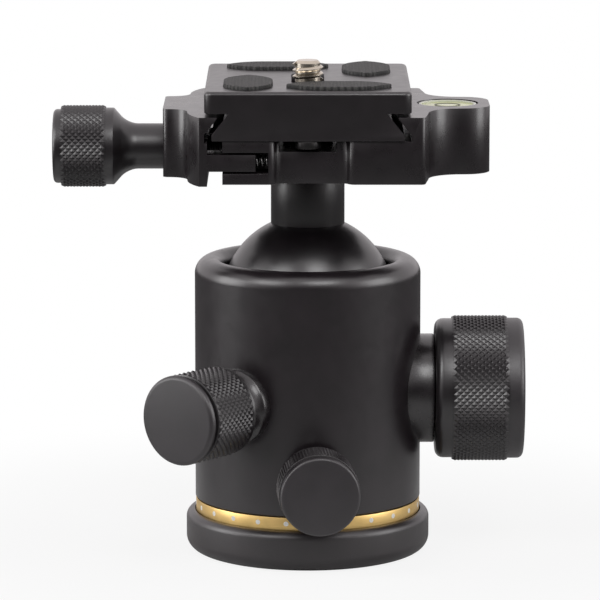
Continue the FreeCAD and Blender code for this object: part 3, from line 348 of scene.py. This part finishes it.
def lathe(outline, steps, closed=False):
    """Spin an outline of (radius, height, rounding) corners round the Z axis, then round its corners."""
    bm = bmesh.new()
    corners = [bm.verts.new((r * MM, 0, h * MM)) for r, h, _ in outline]
    sides = [bm.edges.new(pair) for pair in zip(corners, corners[1:])]
    if closed:
        sides.append(bm.edges.new((corners[-1], corners[0])))
    bmesh.ops.spin(
        bm,
        geom=corners + sides,
        cent=(0, 0, 0),
        axis=(0, 0, 1),
        dvec=(0, 0, 0),
        angle=FULL_TURN,
        steps=steps,
        use_merge=True,
        use_duplicate=False,
    )
    bmesh.ops.remove_doubles(bm, verts=bm.verts, dist=WELD)
    bmesh.ops.recalc_face_normals(bm, faces=bm.faces)
    spots = [Vector((r, h)) for r, h, _ in outline]
    for number, (radius, height, rounding) in enumerate(outline):
        if not rounding:
            continue
        before = spots[number] - spots[number - 1]
        after = spots[(number + 1) % len(spots)] - spots[number]
        turn = before.angle(after)
        ring = [
            edge
            for edge in bm.edges
            if all(
                abs(v.co.z - height * MM) < TOUCH
                and abs(math.hypot(v.co.x, v.co.y) - radius * MM) < TOUCH
                for v in edge.verts
            )
        ]
        bmesh.ops.bevel(
            bm,
            geom=ring,
            offset=rounding * math.tan(turn / 2) * MM,
            offset_type="OFFSET",
            affect="EDGES",
            segments=6,
            profile=0.5,
            material=-1,
            clamp_overlap=True,
        )
    return bm


def knurl(bm, rows, around, depth, flat_top=0.1):
    """Cut a grip into diamonds: every second corner goes down, and the grooves join the low corners."""
    radius = rows[0][0] * MM
    start, stop = rows[0][1] * MM, rows[-1][1] * MM
    step = (stop - start) / (len(rows) - 1)
    low, peaks = [], []
    for v in bm.verts:
        if abs(math.hypot(v.co.x, v.co.y) - radius) > TOUCH or not start - TOUCH < v.co.z < stop + TOUCH:
            continue
        row = round((v.co.z - start) / step)
        column = round(math.atan2(v.co.y, v.co.x) / FULL_TURN * around * 2)
        at_end = row in (0, len(rows) - 1)
        (low if at_end or (row + column) % 2 else peaks).append(v)
    for v in low:
        shrink = 1 - depth * MM / radius
        v.co.x *= shrink
        v.co.y *= shrink
    bmesh.ops.connect_verts(bm, verts=low)
    bmesh.ops.bevel(
        bm,
        geom=peaks,
        offset=flat_top * MM,
        offset_type="OFFSET",
        affect="VERTICES",
        segments=1,
        profile=0.5,
        material=-1,
    )
    return [f for f in bm.faces if all(start - TOUCH < v.co.z < stop + TOUCH for v in f.verts)]


def knurled_knob(name, node, outline, grip, around, place, depth=0.28):
    """A turned knob with a diamond-knurled grip; grip is the corner number where the knurling starts."""
    radius, start, _ = outline[grip]
    _, stop, _ = outline[grip + 1]
    rows = grip_rows(radius, start, stop, around)
    bm = lathe(outline[:grip] + rows + outline[grip + 2 :], around * 2)
    cut = knurl(bm, rows, around, depth)
    crease(bm, SHARP, cut)
    bm.transform(place)
    return link_piece(name, to_mesh(bm, name), node, stands_for=[node])


def knob_end(name, node, outline, place):
    """The smooth disc that closes a knob, with a rounded edge."""
    bm = lathe(outline, 96)
    crease(bm)
    bm.transform(place)
    return link_piece(name, to_mesh(bm, name), node, stands_for=[node])


# Knobs: each outline is (radius, height, rounding) in mm, from the housing outward

main_lock = outward(azimuth=0, height=33.9)
knurled_knob(
    "main_lock_grip",
    "main_lock_knob",
    [
        (8.4, 26.5, 0),
        (14.55, 26.5, 1.7),
        (14.55, 30.1, 0),
        (15.2, 30.1, 0),
        (15.2, 41.6, 0),
        (12.25, 41.6, 0),
    ],
    grip=3,
    around=70,
    place=main_lock,
    depth=0.3,
)
friction_lock = outward(azimuth=232, height=33.5)
knurled_knob(
    "friction_grip",
    "friction_knob",
    [
        (6.6, 28.8, 0),
        (9.05, 28.8, 0),
        (9.3, 29.2, 0),
        (9.3, 40.3, 0),
        (9.15, 40.75, 0.1),
        (8.2, 41.0, 0),
        (8.2, 42.0, 0),
    ],
    grip=2,
    around=44,
    place=friction_lock,
)
knob_end(
    "friction_end",
    "friction_cap",
    [(0, 41.2, 0), (8.2, 41.2, 0), (9.2, 41.7, 0.2), (9.2, 43.0, 0.9), (0, 43.0, 0)],
    friction_lock,
)
pan_lock = outward(azimuth=-86, height=18.4)
knurled_knob(
    "pan_lock_grip",
    "pan_lock_knob",
    [
        (5.8, 26.0, 0),
        (8.2, 26.0, 0),
        (8.4, 26.3, 0),
        (8.4, 33.9, 0),
        (8.25, 34.4, 0.1),
        (7.3, 34.6, 0),
        (7.3, 35.6, 0),
    ],
    grip=2,
    around=40,
    place=pan_lock,
)
knob_end(
    "pan_lock_end",
    "pan_lock_cap",
    [(0, 34.9, 0), (7.3, 34.9, 0), (8.1, 35.3, 0.2), (8.1, 37.0, 0.6), (0, 37.0, 0)],
    pan_lock,
)
knurled_knob(
    "clamp_knob_grip",
    "clamp_knob",
    [
        (2.5, 29.85, 0),
        (4.7, 29.85, 0),
        (4.7, 37.2, 4.6),
        (7.95, 40.1, 0.3),
        (7.95, 41.8, 0),
        (8.5, 41.8, 0),
        (8.5, 51.0, 0),
        (7.65, 51.0, 0),
        (7.65, 52.6, 0.8),
        (0, 52.6, 0),
    ],
    grip=5,
    around=40,
    place=outward(180, CLAMP_SCREW_HEIGHT),
)

# Pieces that keep their CAD shape, with their sharp edges broken
for node, width, wall in (
    ("pan_base", 0.12, 0),
    ("scale_ring", 0.08, 0),
    ("housing", 0.18, 1000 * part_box("housing")[1][0]),
    ("ball", 0, 0),
    ("stem", 0.08, 0),
    ("main_lock_bushing", 0.25, 0),
    ("main_lock_cap", 0, 0),
    ("friction_collar", 0.15, 0),
    ("pan_lock_collar", 0.15, 0),
    ("clamp_body", 0.5, 0),
    ("moving_jaw", 0.5, 0),
    ("clamp_bolt", 0.12, 0),
    ("plate", 0.3, 0),
    ("stop_screws", 0.2, 0),
    ("rubber_pad_front_left", 0.25, 0),
    ("rubber_pad_front_right", 0.25, 0),
    ("rubber_pad_back_right", 0.25, 0),
    ("rubber_pad_back_left", 0.25, 0),
):
    eased(node, width, wall)


# Camera screw and tripod thread

def helix(bm, root, crest, start, stop, pitch):
    """A thread ridge with a narrow crest, wound up the Z axis and closed at both ends."""
    steps = 48
    at_root, at_crest = pitch * 0.46, pitch * 0.07
    section = ((root, -at_root), (root, at_root), (crest, at_crest), (crest, -at_crest))
    first = bm.faces.new([bm.verts.new((radius * MM, 0, (start + z) * MM)) for radius, z in section])
    count = round((stop - start) / pitch * steps)
    bmesh.ops.spin(
        bm,
        geom=[first],
        cent=(0, 0, 0),
        axis=(0, 0, 1),
        dvec=(0, 0, pitch * MM / steps),
        angle=FULL_TURN * count / steps,
        steps=count,
        use_merge=False,
        use_duplicate=False,
    )
    bmesh.ops.recalc_face_normals(bm, faces=bm.faces)


def camera_screw():
    bm = lathe(
        [
            (0, 89.6, 0),
            (6.0, 89.6, 0.3),
            (6.0, 91.7, 0.3),
            (2.6, 91.7, 0),
            (2.6, 103.2, 0),
            (2.1, 103.75, 0),
            (0, 103.75, 0),
        ],
        96,
    )
    helix(bm, 2.5, 3.15, 99.75, 103.0, 1.27)
    crease(bm, THREAD_SHARP)
    bm.transform(Matrix.Translation((0, CAMERA_SCREW_Y * MM, 0)))
    mesh = to_mesh(bm, "camera_screw")
    link_piece("camera_screw_threaded", mesh, "camera_screw", stands_for=["camera_screw"])


def tripod_bush():
    bm = lathe([(4.7, 0, 0), (7.0, 0, 0.3), (7.0, 12.7, 0), (4.7, 12.7, 0)], 96, closed=True)
    helix(bm, 4.78, 3.97, 0.8, 11.9, 1.5875)
    crease(bm, THREAD_SHARP)
    mesh = to_mesh(bm, "tripod_thread")
    link_piece("tripod_thread", mesh, "tripod_thread_bush", stands_for=["tripod_thread_bush"])


def clamp_screw():
    bm = lathe([(0, 7.6, 0), (2.0, 7.6, 0), (2.2, 7.9, 0), (2.2, 51.0, 0), (0, 51.0, 0)], 64)
    helix(bm, 2.12, 2.5, 8.4, 29.4, 1.0)
    crease(bm, THREAD_SHARP)
    bm.transform(outward(180, CLAMP_SCREW_HEIGHT))
    link_piece("clamp_screw_threaded", to_mesh(bm, "clamp_screw"), "clamp_screw", stands_for=["clamp_screw"])


camera_screw()
tripod_bush()
clamp_screw()


# Bubble level

def bubble_level():
    """Vial with a bright rim, yellow-green fluid, a dark aiming ring and the bubble under it."""
    centre = Matrix.Translation((LEVEL_X * MM, 0, 0))
    bm = lathe([(5.45, 89.2, 0), (6.0, 89.2, 0), (6.0, 93.8, 0.15), (5.45, 93.8, 0.15)], 96, closed=True)
    crease(bm)
    bm.transform(centre)
    link_piece("level_rim", to_mesh(bm, "level_rim"), "level_vial", stands_for=["level_vial"])

    bm = lathe([(0, 89.4, 0), (5.4, 89.4, 0), (5.4, 93.45, 0), (0, 93.45, 0)], 96)
    crease(bm)
    bm.transform(centre)
    link_piece("level_window", to_mesh(bm, "level_window"), "level_fluid", stands_for=["level_fluid"])

    bm = lathe([(2.3, 93.4, 0), (2.7, 93.4, 0), (2.7, 93.52, 0), (2.3, 93.52, 0)], 72, closed=True)
    crease(bm)
    bm.transform(centre)
    dark = paint("olive_paint", (0.05, 0.055, 0.02), 0.4)
    link_piece("level_aiming_ring", to_mesh(bm, "level_aiming_ring"), "level_fluid", dark)

    bm = lathe([(0, 93.4, 0), (1.95, 93.4, 0), (1.95, 93.5, 0.09), (0, 93.56, 0)], 72)
    crease(bm, 60)
    bm.transform(centre)
    pale = tinted(
        "bubble", (0.80, 0.83, 0.44), (0.74, 0.77, 0.40), 0.2, Coat_Weight=0.5, Coat_Roughness=0.05
    )
    link_piece("level_bubble", to_mesh(bm, "level_bubble"), "level_fluid", pale)


# Small marks

def paint(name, colour, roughness):
    finish, tree, surface = new_finish(name)
    thin = tuple(c * 0.85 for c in colour)
    link(tree, shades(tree, cloud(tree, spot(tree), 3000), (0.3, thin), (0.6, colour)), surface, "Base Color")
    link(tree, between(tree, cloud(tree, spot(tree), 2500), roughness, roughness + 0.1), surface, "Roughness")
    return finish


def ring_dots():
    """White dots all round the degree ring."""
    radius, height = 23.38, 9.85
    first, apart, count = -86, 15, 24
    bm = bmesh.new()
    for number in range(count):
        angle = math.radians(first + apart * number)
        place = (
            Matrix.Rotation(angle, 4, "Z")
            @ Matrix.Translation((radius * MM, 0, height * MM))
            @ Matrix.Rotation(math.pi / 2, 4, "Y")
        )
        bmesh.ops.create_cone(
            bm,
            cap_ends=True,
            segments=20,
            radius1=0.55 * MM,
            radius2=0.5 * MM,
            depth=0.08 * MM,
            matrix=place,
        )
    crease(bm)
    white = paint("white_paint", (0.85, 0.84, 0.80), 0.5)
    link_piece("ring_dots", to_mesh(bm, "ring_dots"), "scale_ring", white)


ring_dots()
bubble_level()

for node, entry in cad.items():
    entry.data.materials.clear()
    entry.data.materials.append(FINISHES[slot_of_node[node]])


# Floor, light and camera

def faded(tree, distance, near, far, at_near, at_far):
    """A value that runs smoothly from one distance to another."""
    fade = add(
        tree,
        "ShaderNodeMapRange",
        {"Value": distance, "From Min": near, "From Max": far, "To Min": at_near, "To Max": at_far},
        interpolation_type="SMOOTHSTEP",
    )
    return fade.outputs["Result"]


def larger(tree, one, other):
    return add(tree, "ShaderNodeMath", {0: one, 1: other}, operation="MAXIMUM").outputs[0]


def floor():
    """White paper that keeps the shadow near the object and is darker in the object's reflections."""
    bm = bmesh.new()
    bmesh.ops.create_grid(bm, x_segments=1, y_segments=1, size=3.0)
    paper = bpy.data.objects.new("floor", to_mesh(bm, "floor"))
    bpy.context.scene.collection.objects.link(paper)
    finish, tree, surface = new_finish("floor_paper", Roughness=0.9, Specular_IOR_Level=0.1)
    reach = add(tree, "ShaderNodeVectorMath", {0: spot(tree)}, operation="LENGTH").outputs["Value"]
    tone = faded(tree, reach, 0.05, 0.22, 0.82, 0.16)
    link(tree, shades(tree, tone, (0.0, (0, 0, 0)), (1.0, (1, 1, 1))), surface, "Base Color")
    rays = add(tree, "ShaderNodeLightPath")
    white = add(tree, "ShaderNodeEmission", {"Color": (1, 1, 1, 1), "Strength": 1.0})
    share = faded(tree, reach, 0.05, 0.14, 0.86, 1.0)
    seen = add(tree, "ShaderNodeMath", {0: rays.outputs["Is Camera Ray"], 1: share}, operation="MULTIPLY")
    mixed = add(tree, "ShaderNodeMixShader", {0: seen.outputs[0], 1: surface.outputs[0], 2: white.outputs[0]})
    tree.links.new(mixed.outputs[0], tree.nodes["Material Output"].inputs["Surface"])
    paper.data.materials.append(finish)


def room():
    """White all round for the camera; in reflections, a white room that is dark towards the photographer."""
    world = bpy.data.worlds.new("studio")
    bpy.context.scene.world = world
    world.use_nodes = True
    tree = world.node_tree
    ambient = tree.nodes["Background"]
    ambient.inputs["Color"].default_value = (1.0, 0.97, 0.98, 1)
    ambient.inputs["Strength"].default_value = 0.25
    heading = add(tree, "ShaderNodeTexCoord").outputs["Generated"]
    forward = add(
        tree, "ShaderNodeVectorMath", {0: heading, 1: (0, -0.94, -0.40)}, operation="DOT_PRODUCT"
    ).outputs["Value"]
    reflected = add(
        tree,
        "ShaderNodeBackground",
        {"Color": (1.0, 0.95, 0.97, 1), "Strength": faded(tree, forward, 0.42, 0.92, 1.0, 0.02)},
    )
    white = add(tree, "ShaderNodeBackground", {"Color": (1, 1, 1, 1), "Strength": 1.0})
    rays = add(tree, "ShaderNodeLightPath").outputs
    lit = add(
        tree,
        "ShaderNodeMixShader",
        {0: rays["Is Glossy Ray"], 1: ambient.outputs[0], 2: reflected.outputs[0]},
    )
    seen = larger(tree, rays["Is Camera Ray"], rays["Is Transmission Ray"])
    mixed = add(tree, "ShaderNodeMixShader", {0: seen, 1: lit.outputs[0], 2: white.outputs[0]})
    tree.links.new(mixed.outputs[0], tree.nodes["World Output"].inputs["Surface"])


def lamps():
    for name, place, aim, size, power in (
        ("key", (-0.66, -0.62, 0.74), (0, 0, 0.05), 0.5, 3.2),
        ("front", (0.22, -0.72, 0.80), (0, 0, 0.06), 0.42, 2.6),
        ("left", (-1.0, -0.05, 0.30), (0, 0, 0.05), 0.6, 4.2),
        ("right", (1.0, -0.20, 0.38), (0, 0, 0.05), 0.6, 3.6),
    ):
        lamp = bpy.data.lights.new(name, "AREA")
        lamp.shape = "SQUARE"
        lamp.size = size
        lamp.energy = power
        holder = bpy.data.objects.new(name, lamp)
        bpy.context.scene.collection.objects.link(holder)
        holder.location = place
        holder.rotation_euler = (Vector(aim) - Vector(place)).to_track_quat("-Z", "Y").to_euler()


def camera():
    target = Vector((-1.6, 0, 52.5)) * MM
    distance = 0.931
    elevation = math.radians(9.75)
    lens = bpy.data.cameras.new("camera")
    lens.sensor_width = 36
    lens.lens = 268
    holder = bpy.data.objects.new("camera", lens)
    bpy.context.scene.collection.objects.link(holder)
    holder.location = target + Vector((0, -math.cos(elevation), math.sin(elevation))) * distance
    holder.rotation_euler = (math.pi / 2 - elevation, 0, 0)
    bpy.context.scene.camera = holder


floor()
room()
lamps()
camera()
bpy.context.scene.view_settings.view_transform = "Standard"
